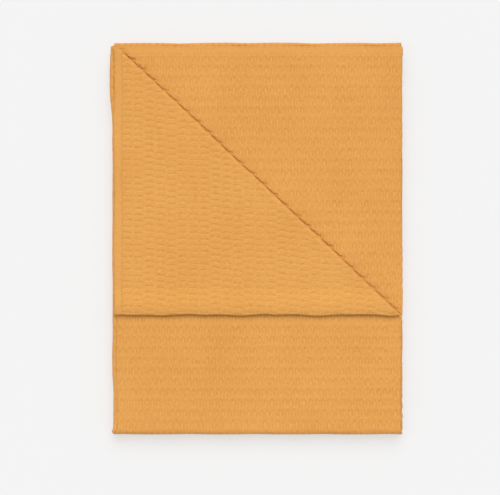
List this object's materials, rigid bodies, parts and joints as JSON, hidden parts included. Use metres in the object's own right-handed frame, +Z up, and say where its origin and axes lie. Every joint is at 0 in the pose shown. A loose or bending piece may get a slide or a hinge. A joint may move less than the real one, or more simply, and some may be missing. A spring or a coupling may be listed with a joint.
{
  "type": "folded throw blanket",
  "caption": "Cotton throw blanket folded into a flat rectangular pad of nested leaves, with one corner of the top leaf turned back along a diagonal; it unfolds at its last fold.",
  "frame": {"origin": "under the middle of the folded pad, on the surface that it rests on", "axes": "+Z up; +Y along the pad's longer side, towards the open end hems, so the last fold is at -Y; +X towards the throw's free side edges, so the folds of every pair of leaves are at -X"},
  "size_m": [0.375, 0.5, 0.0235],
  "materials": {
    "cloth": "matt puffed cotton weave",
    "hem": "matt plain-woven cotton, turned and stitched",
    "thread": "satin cotton sewing thread"
  },
  "bodies": {
    "lower_pack": {"leaf_01": "cloth", "leaf_02": "cloth", "leaf_03": "cloth", "leaf_04": "cloth", "leaf_05": "cloth", "leaf_06": "cloth", "leaf_07": "cloth", "leaf_08": "cloth", "bottom_fold_01": "cloth", "bottom_fold_02": "cloth", "bottom_fold_03": "cloth", "bottom_fold_04": "cloth", "bottom_fold_05": "cloth", "bottom_fold_06": "cloth", "bottom_fold_07": "cloth", "bottom_fold_08": "cloth", "left_fold_1_8": "cloth", "left_fold_2_7": "cloth", "left_fold_3_6": "cloth", "left_fold_4_5": "cloth", "top_fold_1_4": "cloth", "top_fold_2_3": "cloth", "top_fold_5_8": "cloth", "top_fold_6_7": "cloth", "right_fold_5_6": "cloth", "right_fold_7_8": "cloth"},
    "upper_pack": {"leaf_09": "cloth", "leaf_10": "cloth", "leaf_11": "cloth", "leaf_12": "cloth", "leaf_13": "cloth", "leaf_14": "cloth", "leaf_15": "cloth", "leaf_16": "cloth", "bottom_fold_09": "cloth", "bottom_fold_10": "cloth", "bottom_fold_11": "cloth", "bottom_fold_12": "cloth", "bottom_fold_13": "cloth", "bottom_fold_14": "cloth", "bottom_fold_15": "cloth", "bottom_fold_16": "cloth", "left_fold_9_16": "cloth", "left_fold_10_15": "cloth", "left_fold_11_14": "cloth", "left_fold_12_13": "cloth", "right_fold_9_10": "cloth", "right_fold_11_12": "cloth", "end_hem_09": "hem", "end_hem_10": "hem", "end_hem_11": "hem", "end_hem_12": "hem", "end_hem_13": "hem", "end_hem_14": "hem", "end_hem_15": "hem", "hem_stitching_15": "thread"},
    "corner": {"turned_corner": "cloth", "corner_hem": "hem", "corner_hem_stitching": "thread"}
  },
  "joints": [
    {"name": "last_fold", "type": "hinge", "parent": "lower_pack", "child": "upper_pack", "pos_m": [0, -0.25, 0.01175], "axis": [1, 0, 0], "range_deg": [0, 180]},
    {"name": "corner_fold", "type": "hinge", "parent": "upper_pack", "child": "corner", "pos_m": [-0.18075, 0.247, 0.02225], "axis": [-0.7265, 0.6872, 0], "range_deg": [0, 180]}
  ]
}
